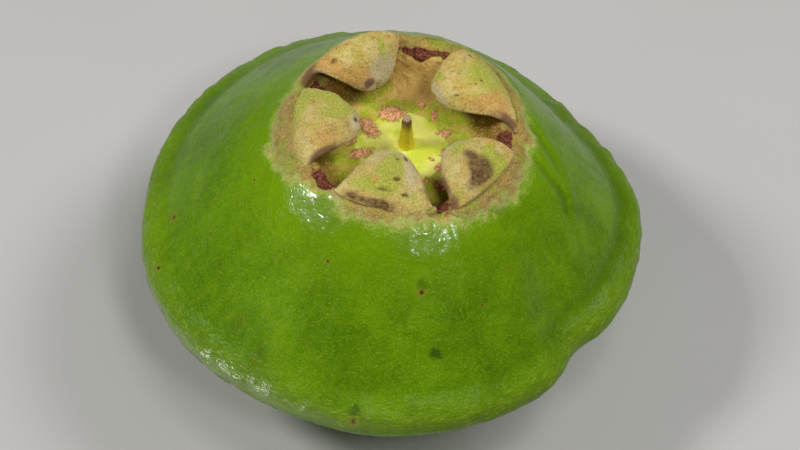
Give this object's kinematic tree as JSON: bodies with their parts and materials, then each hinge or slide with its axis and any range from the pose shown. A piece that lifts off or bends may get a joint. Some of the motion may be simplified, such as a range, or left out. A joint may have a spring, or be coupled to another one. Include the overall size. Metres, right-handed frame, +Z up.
{
  "type": "cambuci fruit",
  "caption": "Whole green saucer-shaped cambuci with a wrinkled rim, folded sepals round an open cup and a dry style; stands on its stem end.",
  "frame": {"origin": "on the ground, under the middle of the fruit's plan outline", "axes": "+Z up from the stem end to the calyx; the broad sepal with the brown crease at its root faces -Y"},
  "size_m": [0.0556, 0.0542, 0.0373],
  "materials": {
    "skin": "waxy, fine wrinkles",
    "calyx": "dull, short felt",
    "style": "dry",
    "stalk": "dry, corky"
  },
  "bodies": {
    "root": {"fruit": "skin", "calyx_lobe_1": "calyx", "calyx_lobe_2": "calyx", "calyx_lobe_3": "calyx", "calyx_lobe_4": "calyx", "calyx_lobe_5": "calyx", "style": "style", "stem_stub": "stalk"}
  },
  "joints": []
}
